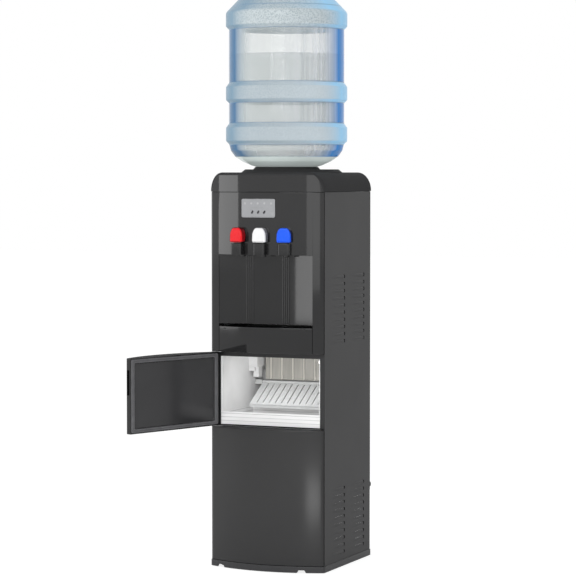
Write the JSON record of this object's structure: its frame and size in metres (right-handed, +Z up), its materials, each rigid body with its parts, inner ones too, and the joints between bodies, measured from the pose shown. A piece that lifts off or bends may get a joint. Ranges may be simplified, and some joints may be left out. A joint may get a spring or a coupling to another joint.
{
  "type": "water dispenser",
  "caption": "Floor-standing water dispenser with an upturned bottle, three push taps, drip tray and a built-in ice maker behind a side-hinged door.",
  "frame": {"origin": "on the floor, under the middle of the cabinet's square plan", "axes": "+Z up, the bowed front faces -Y, +X to the right as seen from the front"},
  "size_m": [0.3988, 0.5959, 1.388],
  "materials": {
    "base_black": "matt moulded plastic",
    "foot_rubber": "matt",
    "panel_grey": "satin dark grey enamel",
    "gloss_black": "high gloss",
    "door_panel": "satin",
    "gasket": "matt",
    "hinge_steel": "plain",
    "frame_black": "satin",
    "liner_white": "satin white",
    "foam": "cast foam",
    "ice_plastic": "translucent grey-white",
    "motor_grey": "satin",
    "nickel": "plated",
    "lamp": "frosted",
    "bezel_silver": "silver lacquer",
    "lights_dark": "clear-coated",
    "button_dark": "gloss",
    "board_green": "solder lacquer",
    "lever_red": "gloss",
    "lever_white": "gloss",
    "lever_blue": "gloss",
    "grille_black": "satin",
    "tank_steel": "brushed stainless",
    "white_foam": "bead foam",
    "zinc_sheet": "zinc-coated sheet",
    "heater": "mill finish",
    "silicone": "translucent",
    "compressor_black": "semi-gloss",
    "condenser_black": "semi-gloss",
    "back_sheet": "galvanised sheet",
    "drain_plastic": "satin",
    "switch_black": "satin",
    "bottle_blue": "clear polycarbonate, frosted bands",
    "water": "clear water, shown solid",
    "cap_blue": "soft plastic"
  },
  "bodies": {
    "cabinet": {"base_tray": "base_black", "rubber_feet": "foot_rubber", "right_side_panel": "panel_grey", "left_side_panel": "panel_grey", "lower_front_panel": "gloss_black", "hinge_brackets": "hinge_steel", "ice_frame": "frame_black", "ice_liner": "liner_white", "ice_insulation": "foam", "ice_bin": "liner_white", "gear_motor": "motor_grey", "ice_maker_bearings": "ice_plastic", "ice_evaporator": "nickel", "ice_reservoir": "ice_plastic", "ice_water_pump": "motor_grey", "ice_lamp": "lamp", "upper_fascia": "gloss_black", "display_bezel": "bezel_silver", "display_lights": "lights_dark", "display_board": "board_green", "tap_body_hot": "gloss_black", "tap_body_room": "gloss_black", "tap_body_cold": "gloss_black", "bay_liner": "gloss_black", "tray_channel": "zinc_sheet", "top_cover": "gloss_black", "bottle_seat": "gloss_black", "cold_tank": "tank_steel", "tank_insulation": "white_foam", "tank_shelf": "zinc_sheet", "hot_tank": "tank_steel", "heater_band": "heater", "water_tubes": "silicone", "compressor": "compressor_black", "compressor_mounts": "foot_rubber", "condenser_tube": "condenser_black", "condenser_wires": "condenser_black", "condenser_brackets": "back_sheet", "back_panel": "back_sheet", "drain_outlets": "drain_plastic", "cord_gland": "drain_plastic", "switch_housings": "switch_black"},
    "door": {"door_skin": "gloss_black", "door_inner_panel": "door_panel", "door_gasket": "gasket"},
    "water_box": {"water_box": "ice_plastic"},
    "ice_plate": {"ice_plate": "ice_plastic"},
    "drip_tray": {"drip_tray": "gloss_black", "drip_grille": "grille_black"},
    "bottle": {"water_bottle": "bottle_blue", "bottle_water": "water", "bottle_cap": "cap_blue"},
    "tap_lever_hot": {"tap_lever_hot": "lever_red"},
    "tap_lever_room": {"tap_lever_room": "lever_white"},
    "tap_lever_cold": {"tap_lever_cold": "lever_blue"},
    "button_left": {"button_left": "button_dark"},
    "button_middle": {"button_middle": "button_dark"},
    "button_right": {"button_right": "button_dark"},
    "rocker_cooling": {"rocker_cooling": "lever_blue"},
    "rocker_heating": {"rocker_heating": "lever_red"}
  },
  "joints": [
    {"name": "door_hinge", "type": "hinge", "parent": "cabinet", "child": "door", "pos_m": [-0.143, -0.1485, 0.43], "axis": [0, 0, 1], "range_deg": [0, 110]},
    {"name": "water_box_tilt", "type": "hinge", "parent": "cabinet", "child": "water_box", "pos_m": [0.007, 0.082, 0.485], "axis": [-1, 0, 0], "range_deg": [0, 20]},
    {"name": "ice_plate_tilt", "type": "hinge", "parent": "cabinet", "child": "ice_plate", "pos_m": [0, 0.07, 0.438], "axis": [-1, 0, 0], "range_deg": [0, 20]},
    {"name": "drip_tray_slide", "type": "slide", "parent": "cabinet", "child": "drip_tray", "axis": [0, -1, 0], "range_m": [0, 0.1]},
    {"name": "bottle_lift", "type": "slide", "parent": "cabinet", "child": "bottle", "axis": [0, 0, 1], "range_m": [0, 0.12]},
    {"name": "tap_lever_hot_press", "type": "hinge", "parent": "cabinet", "child": "tap_lever_hot", "pos_m": [-0.06207, -0.19061, 0.818], "axis": [0.985, -0.1725, 0], "range_deg": [0, 10], "stiffness_Nm_per_rad": 0.6, "springref_deg": -8.59},
    {"name": "tap_lever_room_press", "type": "hinge", "parent": "cabinet", "child": "tap_lever_room", "pos_m": [0, -0.196, 0.818], "axis": [1, 0, 0], "range_deg": [0, 10], "stiffness_Nm_per_rad": 0.6, "springref_deg": -8.59},
    {"name": "tap_lever_cold_press", "type": "hinge", "parent": "cabinet", "child": "tap_lever_cold", "pos_m": [0.06207, -0.19061, 0.818], "axis": [0.985, 0.1725, 0], "range_deg": [0, 10], "stiffness_Nm_per_rad": 0.6, "springref_deg": -8.59},
    {"name": "button_left_press", "type": "slide", "parent": "cabinet", "child": "button_left", "axis": [0.0259, 0.9997, 0], "range_m": [0, 0.0007], "stiffness_N_per_m": 500, "springref_m": -0.0008},
    {"name": "button_middle_press", "type": "slide", "parent": "cabinet", "child": "button_middle", "axis": [0.0259, 0.9997, 0], "range_m": [0, 0.0007], "stiffness_N_per_m": 500, "springref_m": -0.0008},
    {"name": "button_right_press", "type": "slide", "parent": "cabinet", "child": "button_right", "axis": [0.0259, 0.9997, 0], "range_m": [0, 0.0007], "stiffness_N_per_m": 500, "springref_m": -0.0008},
    {"name": "rocker_cooling_switch", "type": "hinge", "parent": "cabinet", "child": "rocker_cooling", "pos_m": [-0.085, 0.149, 0.888], "axis": [-1, 0, 0], "range_deg": [0, 16]},
    {"name": "rocker_heating_switch", "type": "hinge", "parent": "cabinet", "child": "rocker_heating", "pos_m": [-0.05, 0.149, 0.888], "axis": [-1, 0, 0], "range_deg": [0, 16]}
  ],
  "couplings": [
    {"joint": "ice_plate_tilt", "follows": "water_box_tilt", "ratio": 1}
  ]
}
